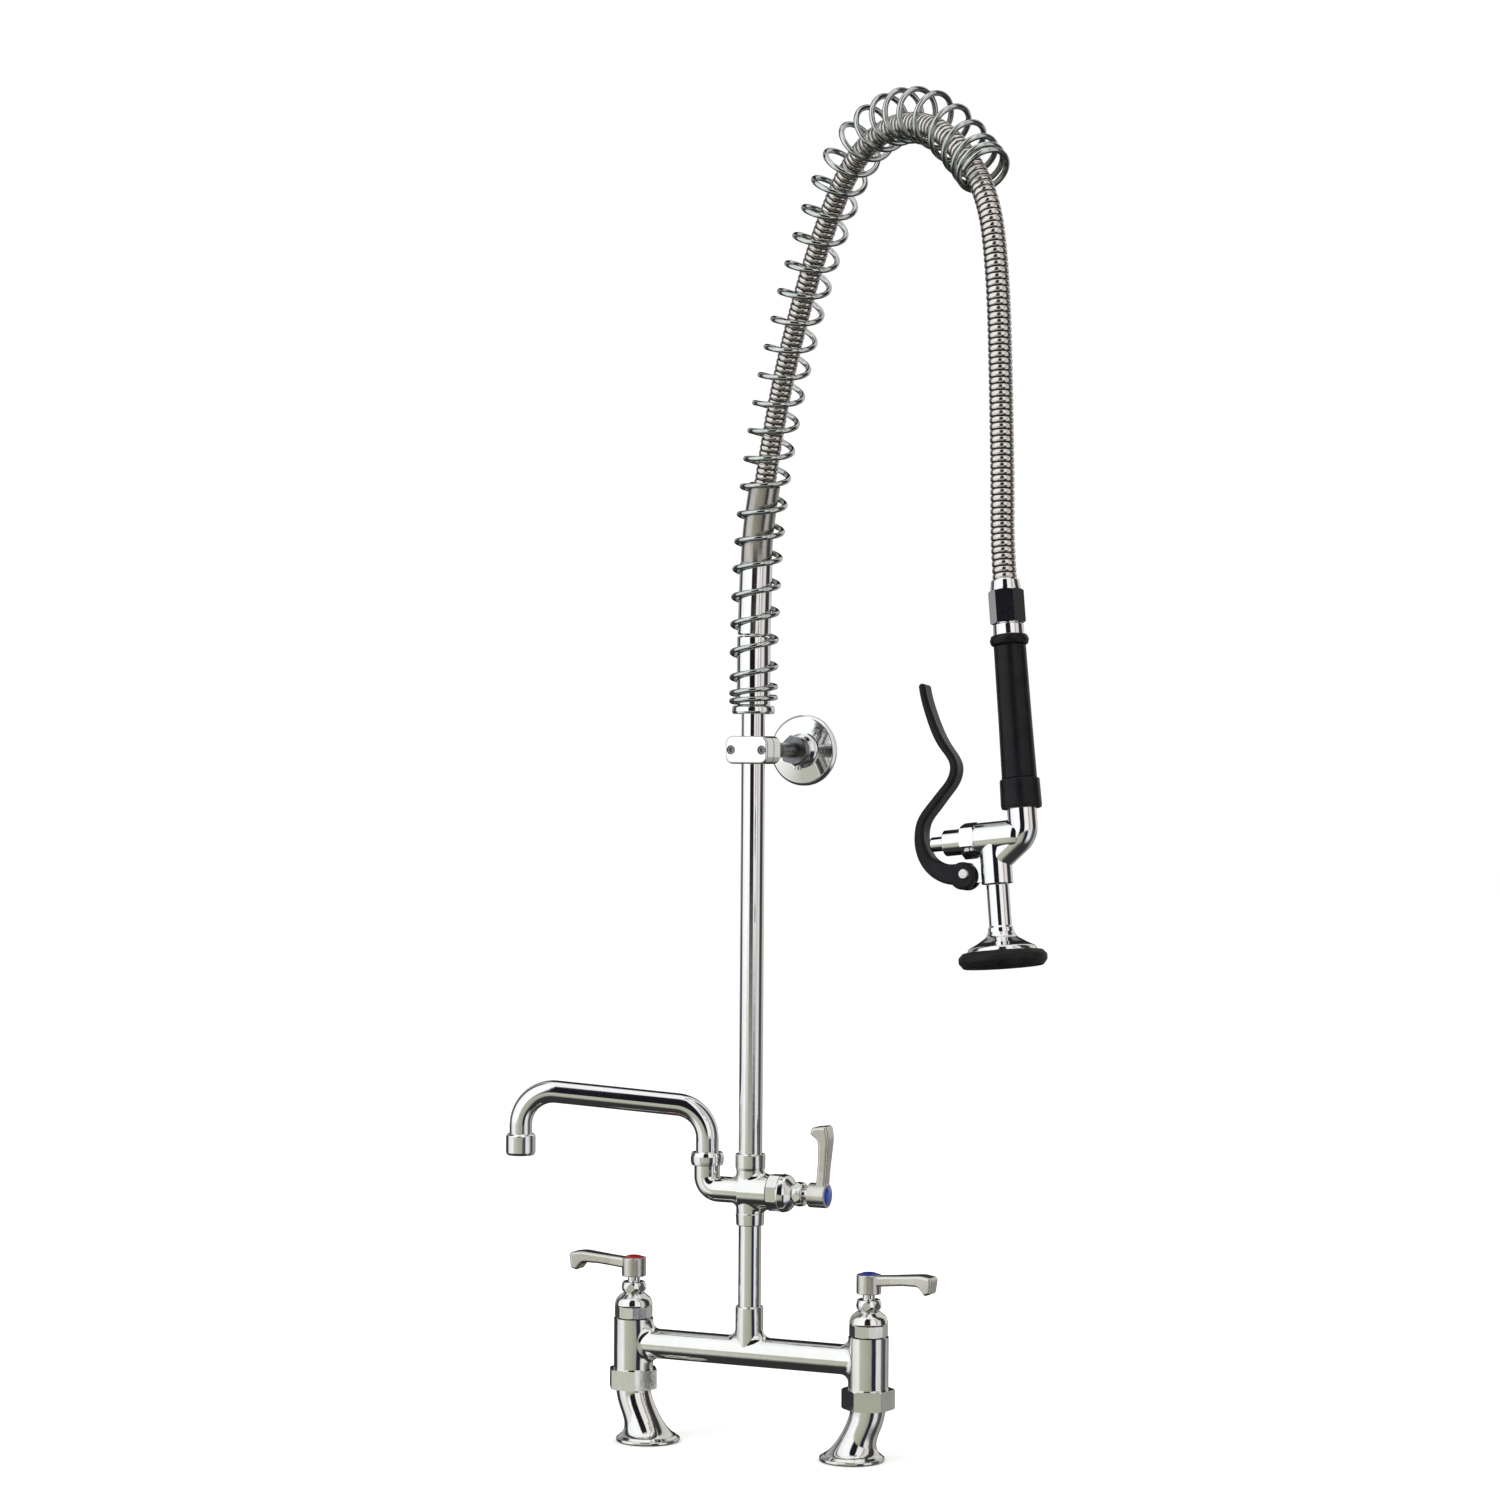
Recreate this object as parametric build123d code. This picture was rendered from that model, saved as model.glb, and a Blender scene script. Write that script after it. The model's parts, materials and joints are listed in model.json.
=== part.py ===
"""Deck mounted pre rinse faucet: bridge body with two lever valves, add-on
swivel spout valve, riser with wall bracket, overhead spring, flexible hose
and trigger spray gun.  Millimetres, +Z up, origin on the deck plane under the
riser axis, +Y towards the wall, hot side at -X, cold side at +X.
"""
from build123d import *
import math
import os

# ------------------------------------------------------------ dimensions
CENTRES = 203.2            # valve centre distance (8 inch)
FOOT_X = 88.2              # inlet shank axis at the deck
FLANGE_R = 25.5
LEG_R = 14.0
INLET_R = 9.3              # G 1/2 female inlet
INLET_DEPTH = 16.0
NUT_AF = 36.3
NUT_Z0, NUT_Z1 = 41.0, 56.5
BODY_R = 15.75
BODY_Z0, BODY_Z1 = 50.0, 97.0
BRIDGE_Z, BRIDGE_R = 77.7, 11.75
SOCKET_R, SOCKET_Z = 11.0, 113.6
STEM_R = 4.8
RUN = 0.08                 # radial running clearance
PIPE_R = 9.0               # supply nipple
ADD_Z = 204.4              # add-on valve axis height
ADD_X = 18.0               # add-on bonnet seat
SPOUT_X = -37.6            # spout pivot
SPOUT_REACH = 152.4        # 6 inch spout
SPOUT_YAW = 194.0          # rest direction of the spout, degrees from +X
SPOUT_R = 9.0
RISER_R = 9.3
CLAMP_Z = 553.0
WALL_Y = 104.0
SEAT_Z0, SEAT_Z1 = 581.5, 588.0
ADAPT_MID, ADAPT_TOP = 643.0, 701.6
FERRULE_TOP = 761.4
ADAPT_LEAN = 3.0           # the adaptor's top leans into the arch, in the arch plane
HOSE_R, HOSE_BORE = 8.6, 6.4
WIRE_R = 2.15
ARCH_TURN = -36.0          # the arch stands in a plane turned this much about Z from +X
GUN_AT = (351.0, 0.0, 673.4)   # top of the hose nut in the arch plane
GUN_TILT = 8.0             # spray gun leans outwards at the bottom, in the arch plane
GUN_SCALE = 0.913          # the gun is drawn larger and brought to size at the end
NOZZLE_X = -23.8           # nozzle axis from grip axis
TRIGGER_S = 197.5          # plunger axis below the hose nut's top
PIN_X, PIN_S = -47.4, 223.0

# centre line of the overhead spring in the arch plane, distance from the riser and Z
SPRING_ROUTE = [(0.0, 590.0), (-0.1, 651.7), (8.9, 738.9), (33.5, 825.2), (74.9, 911.8),
                (109.2, 965.8), (135.5, 997.0), (171.8, 1016.7), (222.6, 1022.6),
                (277.4, 1005.0), (328.8, 957.7)]
# centre line of the hose in the arch plane, from the upper ferrule to the hose nut
HOSE_ROUTE = [(15.6, 761.4), (34.4, 826.4), (77.6, 912.8), (114.6, 966.4), (145.3, 997.8),
              (186.1, 1014.2), (229.2, 1014.4), (275.3, 998.2), (326.4, 951.4), (340.3, 888.3),
              (345.0, 799.3), (347.4, 738.9), (347.382, 699.147), (351.0, 673.4)]
# distance along the spring's centre line at each full turn of the wire
TURNS = [1.6, 7.8, 20.1, 39.7, 61.6, 83.2, 105.0, 126.4, 147.6, 169.3, 191.2, 213.3, 235.5, 257.8, 280.3,
         303.1, 325.6, 348.1, 371.0, 394.1, 417.7, 440.0, 465.2, 486.4, 507.8, 526.0, 545.0,
         567.5, 592.3, 614.6, 632.0, 641.6, 648.2]
TURN_PHASE = 236.0
COIL_AT = [(0.0, 17.2), (150.0, 17.5), (300.0, 18.1), (430.0, 18.8), (520.0, 18.8), (660.0, 18.0)]  # coil radius along the line

PARTS = {}


# ------------------------------------------------------------ helpers
def outline(pts, at=lambda a, b: Vector(a, 0, b)):
    """Closed outline with a fillet radius given as an optional third value."""
    n, ins, outs, arcs = len(pts), [], [], []
    for i, p in enumerate(pts):
        a, c = pts[i - 1], pts[(i + 1) % n]
        f = p[2] if len(p) > 2 else 0
        P = (p[0], p[1])
        if not f:
            ins.append(P), outs.append(P), arcs.append(None)
            continue
        u = (a[0] - P[0], a[1] - P[1])
        v = (c[0] - P[0], c[1] - P[1])
        lu, lv = math.hypot(*u), math.hypot(*v)
        u, v = (u[0] / lu, u[1] / lu), (v[0] / lv, v[1] / lv)
        ang = math.acos(max(-1, min(1, u[0] * v[0] + u[1] * v[1])))
        t = f / math.tan(ang / 2)
        t = min(t, 0.49 * lu, 0.49 * lv)
        f = t * math.tan(ang / 2)
        w = (u[0] + v[0], u[1] + v[1])
        lw = math.hypot(*w)
        d = f / math.sin(ang / 2)
        centre = (P[0] + w[0] / lw * d, P[1] + w[1] / lw * d)
        mid = (centre[0] - w[0] / lw * f, centre[1] - w[1] / lw * f)
        ins.append((P[0] + u[0] * t, P[1] + u[1] * t))
        outs.append((P[0] + v[0] * t, P[1] + v[1] * t))
        arcs.append(mid)
    edges = []
    for i in range(n):
        if arcs[i]:
            edges.append(Edge.make_three_point_arc(at(*ins[i]), at(*arcs[i]), at(*outs[i])))
        a, b = outs[i], ins[(i + 1) % n]
        if math.dist(a, b) > 1e-6:
            edges.append(Edge.make_line(at(*a), at(*b)))
    return Face(Wire(edges))


def turned(pts):
    """Solid of revolution about Z from (radius, height[, fillet]) points."""
    return revolve(outline(pts), Axis.Z, 360)


def cyl(r, z0, z1, x=0.0, y=0.0):
    return Pos(x, y, (z0 + z1) / 2) * Cylinder(r, z1 - z0)


def along_x(shape, x=0.0, y=0.0, z=0.0):
    """Local +Z turned to +X."""
    return Location((x, y, z), (0, 90, 0)) * shape


def along_y(shape, x=0.0, y=0.0, z=0.0):
    """Local +Z turned to +Y."""
    return Location((x, y, z), (-90, 0, 0)) * shape


def hexagon(af, z0, z1, turn=0.0, sides=6, ease=0.7):
    ac = af / 2 / math.cos(math.pi / sides)
    h = Pos(0, 0, z0) * extrude(Rot(0, 0, turn) * RegularPolygon(af / 2, sides, major_radius=False), z1 - z0)
    cap = turned([(0, z0), (ac - 1.9 * ease, z0), (ac + 0.01, z0 + ease), (ac + 0.01, z1 - ease),
                  (ac - 1.9 * ease, z1), (0, z1)])
    return h & cap


def edges_near(shape, point, reach):
    p = Vector(*point)
    return [e for e in shape.edges() if (e.center() - p).length < reach]


def soften(shape, edges, *radii):
    """Largest radius of the list that the edges take."""
    for r in radii:
        try:
            got = fillet(edges, r)
            if got.is_valid and got.volume > 0:
                return got
        except Exception:
            continue
    return shape


def route_path(route):
    """Straight runs joined by tangent arcs, in the XZ plane; also the radii."""
    v = [Vector(x, 0, z) for x, z in route]
    radii = []
    for a, b, c in zip(v, v[1:], v[2:]):
        turn = (b - a).get_angle(c - b)
        radii.append(0.45 * min((b - a).length, (c - b).length) / math.tan(math.radians(turn / 2)))
    return FilletPolyline(*v, radius=radii), radii


def tube(path, r, bore=0.0):
    start = path @ 0
    plane = Plane(origin=start, z_dir=path % 0)
    outer = sweep(plane * Circle(r), path=path)
    if bore:
        outer = outer - sweep(plane * Circle(bore), path=path)
    return outer


def add(name, shape):
    """Keep a node; a name used again adds its solids to that node's group."""
    solids = (PARTS[name].solids() if name in PARTS else []) + shape.solids()
    PARTS[name] = solids[0] if len(solids) == 1 else Compound(children=[s for s in solids])


# ------------------------------------------------------------ inlet legs
def leg(side):
    s = side
    sections = [(0.0, FOOT_X, 25.5), (2.6, FOOT_X, 25.5), (4.4, FOOT_X + 0.3, 22.6), (8.0, FOOT_X + 1.3, 18.6),
                (14.0, FOOT_X + 3.6, 15.8), (23.0, FOOT_X + 7.8, 14.5), (33.0, FOOT_X + 11.8, 14.0),
                (41.0, CENTRES / 2, 14.0)]
    flange = cyl(FLANGE_R, 0, 2.6, s * FOOT_X)
    flange = soften(flange, flange.edges(), 0.8)
    horn = loft([Pos(s * x, 0, z) * Circle(r) for z, x, r in sections[2:]])
    base = loft([Pos(s * x, 0, z) * Circle(r) for z, x, r in [(2.0, FOOT_X, 25.0), (4.4, FOOT_X + 0.3, 22.6)]], ruled=True)
    top = cyl(LEG_R, 41.0, 44.0, s * CENTRES / 2) + cyl(16.0, 44.0, 48.2, s * CENTRES / 2)
    body = flange + base + horn + top
    body -= cyl(INLET_R, -0.1, INLET_DEPTH, s * FOOT_X)
    way = FilletPolyline((s * FOOT_X, 0, INLET_DEPTH - 3), (s * (FOOT_X + 3.2), 0, 21),
                         (s * (FOOT_X + 11.6), 0, 36), (s * CENTRES / 2, 0, 49), radius=9)
    body -= tube(way, 6.5)
    return body


for side, name in ((-1, "hot"), (1, "cold")):
    add(f"{name}_leg", leg(side))
    add("leg_washers", Pos(side * CENTRES / 2, 0, 0) * (cyl(15.6, 48.2, 50.0) - cyl(9.0, 48.1, 50.1)))
    nut = hexagon(NUT_AF, NUT_Z0, NUT_Z1, 0 if side < 0 else 20)
    nut -= cyl(LEG_R + 0.3, NUT_Z0 - 1, 44.1) + cyl(16.15, 44.0, NUT_Z1 + 1)
    add("coupling_nuts", Pos(side * CENTRES / 2, 0, 0) * nut)

# ------------------------------------------------------------ bridge body
half = CENTRES / 2
bridge = along_x(cyl(BRIDGE_R, -half, half), z=BRIDGE_Z)
for x in (-half, half):
    bridge += cyl(BODY_R, BODY_Z0 + 4, BODY_Z1, x)
bridge += cyl(SOCKET_R, BRIDGE_Z, SOCKET_Z)
junction = [e for e in bridge.edges()
            if e.geom_type not in (GeomType.LINE, GeomType.CIRCLE)]
bridge = soften(bridge, junction, 7.0, 6.0, 5.0, 4.0, 3.0)
for x in (-half, half):
    bridge += cyl(16.0, BODY_Z0, 57.0, x)
rims = [e for e in bridge.edges().filter_by(GeomType.CIRCLE)
        if abs(e.center().Z - SOCKET_Z) < 0.01]
bridge = soften(bridge, rims, 1.0, 0.6)
bridge -= along_x(cyl(6.5, -half, half), z=BRIDGE_Z)
for x in (-half, half):
    bridge -= cyl(9.0, BODY_Z0 - 1, 60.0, x) + cyl(6.0, 59, 64.0, x) + cyl(10.0, 64.0, BODY_Z1 + 1, x)
bridge -= cyl(PIPE_R + 0.02, 101.5, SOCKET_Z + 1) + cyl(6.5, BRIDGE_Z, 102.0)
add("bridge_body", bridge)


# ------------------------------------------------------------ lever valves
def lever_handle():
    """Hub on Z, s = 33.5 to 48.5, blade along -X with a hooked tip."""
    side = outline([(-1, 47.6), (-1, 39.0), (-30, 42.0, 30), (-43.5, 42.2, 6), (-48.5, 35.6, 1.6), (-53.5, 37.2, 2.2),
                    (-55.2, 49.5, 3.0), (-45, 51.2, 30), (-20, 49.0, 60)])
    slab = Pos(0, 12, 0) * extrude(side, 24, dir=(0, -1, 0))
    plan = outline([(0, 5.4), (0, -5.4), (-20, -5.6, 30), (-44, -7.4, 40), (-55.6, -8.0, 3.5),
                    (-55.6, 8.0, 3.5), (-44, 7.4, 40), (-20, 5.6, 30)], at=lambda a, b: Vector(a, b, 0))
    blade = slab & (Pos(0, 0, 20) * extrude(plan, 50, dir=(0, 0, 1)))
    blade = soften(blade, [e for e in blade.edges() if e.center().X < -3], 2.2, 1.8, 1.4, 1.0, 0.6)
    hub = turned([(0, 33.5), (9.7, 33.5, 0.8), (9.7, 48.5, 0.8), (0, 48.5)])
    one = hub + blade
    one -= cyl(STEM_R + 0.01, 33.0, 41.5)                 # splined socket
    one -= cyl(2.3, 41.0, 44.0) + cyl(7.9, 44.0, 49.0)    # screw hole and index recess
    return one


def valve(name, place):
    add("valve_cartridges", place(cyl(9.7, -33, -5) - cyl(STEM_R + RUN, -24, -4)))
    band = hexagon(28.0, 0, 10.5, 22.5, sides=8, ease=1.2)
    dome = turned([(0, 9.5), (14.6, 9.5), (15.2, 10.8, 1.0), (14.2, 15.5, 6), (9.2, 19.6, 3.0), (7.0, 21.0), (7.0, 25.0), (0, 25.0)])
    thread = cyl(9.8, -5, 0.5)
    bonnet = band + dome + thread
    bonnet -= cyl(STEM_R + RUN, -6, 26)
    add("valve_bonnets", place(bonnet))
    pack = turned([(0, 21.2), (9.0, 21.2, 0.8), (9.9, 24.0, 1.5), (9.0, 29.3, 1.6), (0, 29.3)])
    pack = pack & hexagon(18.4, 21.0, 29.5, 10)
    pack -= cyl(7.05, 21, 25.05) + cyl(STEM_R + RUN, 24, 30)
    add("packing_nuts", place(pack))
    stem = cyl(STEM_R, -23.5, 41.4) - cyl(1.9, 30.0, 41.5)
    add(f"{name}_stem", place(stem))
    add(f"{name}_handle", place(lever_handle()))
    screw = cyl(1.85, 31.0, 44.0) + turned([(0, 44.0), (4.0, 44.0), (4.0, 46.0, 0.5), (0, 46.0)])
    screw -= Pos(0, 0, 46) * Box(6, 1.0, 1.6)
    add(f"{name}_handle_screw", place(screw))
    index = turned([(0, 46.1), (7.8, 46.1), (7.8, 48.6, 0.8), (5.0, 49.9, 6), (0, 50.2)])
    index -= cyl(4.4, 46.0, 47.0)
    add(f"{name}_index", place(index))


valve("hot", lambda s: Pos(-half, 0, BODY_Z1) * s)
valve("cold", lambda s: Location((half, 0, BODY_Z1), (0, 0, 180)) * s)
# axis +X, blade up: local -X goes to +Z
valve("addon", lambda s: Location((ADD_X, 0, ADD_Z), (0, 90, 0)) * s)

# ------------------------------------------------------------ supply pipe and add-on body
add("supply_pipe", cyl(PIPE_R, 101.5, 189.5) - cyl(6.5, 101.4, 189.6))
spine = cyl(11.0, 184.0, 234.0)
barrel = along_x(cyl(14.0, -6.0, ADD_X), z=ADD_Z)
barrel = soften(barrel, edges_near(barrel, (ADD_X, 0, ADD_Z), 1), 1.0)
arm = tube(FilletPolyline((0, 0, ADD_Z), (SPOUT_X, 0, ADD_Z), (SPOUT_X, 0, 222), radius=10.3), 10.2)
addon = spine + barrel + arm
junction = [e for e in addon.edges() if e.geom_type not in (GeomType.LINE, GeomType.CIRCLE)]
addon = soften(addon, junction, 7.0, 6.0, 5.0, 4.0, 3.0, 2.0)
addon += turned([(0, 177.5), (10.9, 177.5, 1.0), (11.4, 187.0, 0.8), (10.0, 188.0), (0, 188.0)])
addon += turned([(0, 221), (11.0, 221), (11.8, 223.5, 2), (11.85, 234.0, 0.8), (0, 234.0)])
addon += cyl(10.2, 219, 224, SPOUT_X) + cyl(11.2, 224, 229, SPOUT_X)
addon -= cyl(PIPE_R + 0.02, 177, 189.5) + cyl(6.0, 189.4, 223) + cyl(RISER_R + 0.02, 222.0, 235)
addon -= along_x(cyl(9.9, -15.2, ADD_X + 1), z=ADD_Z)
addon -= along_x(cyl(6.0, SPOUT_X, -15), z=ADD_Z)
addon -= cyl(6.0, ADD_Z - 3, 215, SPOUT_X) + cyl(SPOUT_R + RUN, 212.0, 230, SPOUT_X)
add("addon_body", addon)

# ------------------------------------------------------------ swivel spout
nut = turned([(0, 223.0), (12.3, 223.0, 0.8), (13.1, 226.0, 3), (13.1, 230.6, 3), (12.2, 233.4, 0.8), (0, 233.4)])
nut -= cyl(11.3, 222, 229.05) + cyl(SPOUT_R + RUN, 228, 234)
add("spout_nut", Pos(SPOUT_X, 0, 0) * nut)
yaw = math.radians(SPOUT_YAW)
dx, dy = math.cos(yaw), math.sin(yaw)
sp = lambda u, z: (SPOUT_X + u * dx, u * dy, z)
path = FilletPolyline(sp(0, 213.0), sp(0, 268.5), sp(SPOUT_REACH, 280.5), sp(SPOUT_REACH, 236.0), radius=[26, 27])
spout = tube(path, SPOUT_R, 7.2)
for z in (215.4, 219.4):
    spout -= Pos(SPOUT_X, 0, 0) * (cyl(9.5, z - 1.1, z + 1.1) - cyl(7.95, z - 1.2, z + 1.2))
add("spout_tube", spout)
rings = Pos(SPOUT_X, 0, 215.4) * Torus(8.5, 0.52) + Pos(SPOUT_X, 0, 219.4) * Torus(8.5, 0.52)
add("spout_seal_rings", rings)
tipx, tipy, _ = sp(SPOUT_REACH, 0)
outlet = turned([(0, 226.8), (10.6, 226.8, 0.8), (11.85, 229.0, 1.0), (11.85, 242.6, 1.2), (10.4, 244.0, 0.5), (0, 244.0)])
outlet -= cyl(SPOUT_R + 0.02, 236.0, 245) + cyl(7.4, 233.0, 237) + cyl(8.6, 226, 233.0)
add("spout_outlet", Pos(tipx, tipy, 0) * outlet)
insert = cyl(8.5, 228.2, 232.9)
for i in range(6):
    a = math.radians(60 * i)
    insert -= cyl(1.5, 228, 233, 5.2 * math.cos(a), 5.2 * math.sin(a))
insert -= cyl(1.6, 228, 233)
add("spout_flow_insert", Pos(tipx, tipy, 0) * insert)

# ------------------------------------------------------------ riser and wall bracket
add("riser_pipe", cyl(RISER_R, 222.0, 592.0) - cyl(6.8, 221, 593))


def clamp_half(y0, y1):
    b = Pos(0, (y0 + y1) / 2, CLAMP_Z) * Box(36, y1 - y0, 22)
    b = soften(b, b.edges().filter_by(Axis.Y), 6.0)
    face = b.faces().sort_by(Axis.Y)[0 if y0 < 0 else -1]
    return soften(b, face.edges(), 1.6, 1.0)


front = clamp_half(-13.6, -0.5) - cyl(RISER_R + 0.03, 530, 580)
rear = clamp_half(0.5, 13.6) - cyl(RISER_R + 0.03, 530, 580)
for x in (-13.2, 13.2):
    front -= along_y(cyl(2.25, -20, 1), x, 0, CLAMP_Z) + along_y(cyl(3.6, -20, -10.6), x, 0, CLAMP_Z)
    rear -= along_y(cyl(2.05, 0, 11), x, 0, CLAMP_Z)
rear -= along_y(cyl(4.5, 9.6, 14), 0, 0, CLAMP_Z)
add("clamp_front", front)
add("clamp_rear", rear)
screw = cyl(2.0, -10.6, 10.0) + turned([(0, -12.5), (3.5, -12.5, 0.4), (3.5, -10.6), (0, -10.6)])
screw -= Pos(0, 0, -12.6) * extrude(RegularPolygon(1.6, 6, major_radius=False), 1.5)
add("clamp_screws", Compound(children=[s for x in (-13.2, 13.2) for s in along_y(screw, x, 0, CLAMP_Z).solids()]))
bar = Pos(0, 29.3, CLAMP_Z) * Box(10, 31.4, 10)
bar = soften(bar, bar.edges().filter_by(Axis.Y), 1.4)
arm = bar + along_y(turned([(0, 45.0), (5.0, 45.0), (6.1, 47.0, 0.8), (6.1, 93.0), (0, 93.0)]), 0, 0, CLAMP_Z)
arm += along_y(cyl(4.45, 9.7, 14), 0, 0, CLAMP_Z)
add("wall_arm", arm)
lock = hexagon(22.0, 80.0, 88.0, 15, ease=0.9) - cyl(6.13, 79, 89)
add("wall_lock_nut", along_y(lock, 0, 0, CLAMP_Z))
flange = turned([(0, 88.2), (11.6, 88.2, 1.0), (12.2, 92.5, 1.0), (13.2, 97.2, 3.0), (27.0, 99.0, 1.5), (28.9, 101.5, 0.8), (28.9, WALL_Y), (0, WALL_Y)])
flange -= cyl(6.13, 88, 93.1) + cyl(4.05, 93.0, WALL_Y + 1)
flange = along_y(flange, 0, 0, CLAMP_Z)
flange -= cyl(1.6, CLAMP_Z - 15, CLAMP_Z - 5.5, 0, 90.8)
add("wall_flange", flange)
grub = cyl(1.55, CLAMP_Z - 14.4, CLAMP_Z - 6.25, 0, 90.8) + cyl(2.6, CLAMP_Z - 16.0, CLAMP_Z - 13.2, 0, 90.8)
grub -= Pos(0, 90.8, CLAMP_Z - 16) * Box(6, 0.8, 1.6)
grub -= along_y(cyl(12.25, 85, 97), 0, 0, CLAMP_Z)
grub += cyl(1.55, CLAMP_Z - 13.0, CLAMP_Z - 6.25, 0, 90.8)
add("wall_set_screw", grub)

# ------------------------------------------------------------ spring seat, hose adaptor, upper ferrule
seat = turned([(0, SEAT_Z0), (16.2, SEAT_Z0, 0.8), (17.0, SEAT_Z0 + 2.0, 1.2), (16.6, SEAT_Z1, 2.0), (0, SEAT_Z1)])
seat -= cyl(RISER_R + 0.02, SEAT_Z0 - 1, SEAT_Z1 + 1)
add("spring_seat", seat)
low = turned([(0, SEAT_Z1), (12.6, SEAT_Z1), (13.2, SEAT_Z1 + 1.2, 0.6), (13.2, ADAPT_MID - 1.4, 0.8), (12.3, ADAPT_MID), (0, ADAPT_MID)])
low -= cyl(RISER_R + 0.02, SEAT_Z1 - 1, 592.0) + cyl(6.8, 591.9, ADAPT_MID + 1)
add("adaptor_lower", low)
top = turned([(0, ADAPT_MID + 0.68), (12.3, ADAPT_MID + 0.68), (13.0, ADAPT_MID + 2.1, 0.8), (12.8, ADAPT_TOP - 1.0, 0.6), (11.8, ADAPT_TOP), (0, ADAPT_TOP)])
top -= cyl(6.8, ADAPT_MID - 1, ADAPT_TOP + 1)
lean = Location((0, 0, ADAPT_MID), (0, ADAPT_LEAN, 0)) * Location((0, 0, -ADAPT_MID))
top_at_rest = lean * top
add("adaptor_upper", Rot(0, 0, ARCH_TURN) * top_at_rest)
head = lean * Pos(0, 0, ADAPT_TOP)
fx, fz = head.position.X, head.position.Z
h0, h1 = HOSE_ROUTE[0], HOSE_ROUTE[1]
out = Vector(h1[0] - h0[0], 0, h1[1] - h0[1]).normalized()
start = Vector(fx, 0, fz)
into = Vector(math.sin(math.radians(ADAPT_LEAN)), 0, math.cos(math.radians(ADAPT_LEAN)))
end = Vector(h0[0], 0, h0[1])
# corner where the tangents at both ends of the ferrule meet
d = end - start
den = into.X * out.Z - into.Z * out.X
k = (d.X * out.Z - d.Z * out.X) / den
corner = start + into * k
reach_ = 0.95 * min((corner - start).length, (end - corner).length)
bend = reach_ / math.tan(math.radians(into.get_angle(out)) / 2)
ferrule_path = FilletPolyline(start, corner, end, radius=bend)
add("upper_ferrule", Rot(0, 0, ARCH_TURN) * tube(ferrule_path, 12.2, 7.0))

# ------------------------------------------------------------ hose
hose_path, hose_radii = route_path(HOSE_ROUTE)
hose = tube(hose_path, HOSE_R, HOSE_BORE)
add("hose", Rot(0, 0, ARCH_TURN) * hose)
print("hose radii", [round(r, 1) for r in hose_radii])
print("hose length", round(hose_path.length, 1), "volume ratio",
      round(hose.volume / (math.pi * (HOSE_R ** 2 - HOSE_BORE ** 2) * hose_path.length), 4))

# ------------------------------------------------------------ overhead spring
spring_path, spring_radii = route_path(SPRING_ROUTE)
LENGTH = spring_path.length
print("spring line length", round(LENGTH, 1), "radii", [round(r, 1) for r in spring_radii])
SPRING_EDGES = spring_path.edges()


def turn_at(u):
    """Distance along the centre line at turn u, smooth through TURNS."""
    n = len(TURNS)
    i = max(0, min(n - 2, int(math.floor(u))))
    t = u - i

    def slope(j):
        if j <= 0 or j >= n - 1:
            return TURNS[1] - TURNS[0] if j <= 0 else TURNS[-1] - TURNS[-2]
        a, b = TURNS[j] - TURNS[j - 1], TURNS[j + 1] - TURNS[j]
        return 2 * a * b / (a + b)
    a, b, ma, mb = TURNS[i], TURNS[i + 1], slope(i), slope(i + 1)
    return (a * (2 * t ** 3 - 3 * t ** 2 + 1) + ma * (t ** 3 - 2 * t ** 2 + t)
            + b * (-2 * t ** 3 + 3 * t ** 2) + mb * (t ** 3 - t ** 2))


def coil_radius(s):
    """Smooth between the COIL_AT stations."""
    for (s0, r0), (s1, r1) in zip(COIL_AT, COIL_AT[1:]):
        if s <= s1:
            k = (s - s0) / (s1 - s0)
            return r0 + (r1 - r0) * k * k * (3 - 2 * k)
    return COIL_AT[-1][1]


def wire_point(u):
    s = min(max(turn_at(u), 0.4), LENGTH - 1.0)
    f = s / LENGTH
    c, t = spring_path.position_at(f), spring_path.tangent_at(f)
    inward = Vector(t.Z, 0, -t.X)
    a = math.radians(TURN_PHASE + 360 * u)
    r = coil_radius(s)
    return c + inward * (r * math.cos(a)) + Vector(0, 1, 0) * (r * math.sin(a))


def wire_tangent(u):
    e = 1e-3
    return (wire_point(u + e) - wire_point(u - e)).normalized()


STEPS = 2
first, last = -0.25, len(TURNS) - 1 + 0.1
count = int((last - first) * STEPS)
pts = [(wire_point(first + (last - first) * i / count), wire_tangent(first + (last - first) * i / count))
       for i in range(count + 1)]
edges = []
for (p0, t0), (p1, t1) in zip(pts, pts[1:]):
    v, t = p1 - p0, t0 + t1
    q = 2 * (1 - t0.dot(t1))
    vt = v.dot(t)
    d = (-vt + math.sqrt(vt * vt + q * v.dot(v))) / q
    m = (p0 + t0 * d + p1 - t1 * d) * 0.5
    edges.append(Edge.make_tangent_arc(p0, t0, m))
    edges.append(Edge.make_tangent_arc(m, edges[-1] % 1, p1))
wire = Wire(edges)
coil = sweep(Plane(origin=pts[0][0], z_dir=pts[0][1]) * Circle(WIRE_R), path=wire)
add("overhead_spring", Rot(0, 0, ARCH_TURN) * coil)
print("spring turns", round(last - first, 2), "wire length", round(wire.length, 0), "volume ratio",
      round(coil.volume / (math.pi * WIRE_R ** 2 * wire.length), 4))

# ------------------------------------------------------------ hose nut and spray gun, drawn about the grip axis, z = -distance below the hose nut's top
GUN = Rot(0, 0, ARCH_TURN) * Location(GUN_AT, (0, -GUN_TILT, 0)) * Rot(0, 0, -ARCH_TURN)


def g(shape):
    return GUN * scale(shape, by=GUN_SCALE, about=(0, 0, 0))


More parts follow.
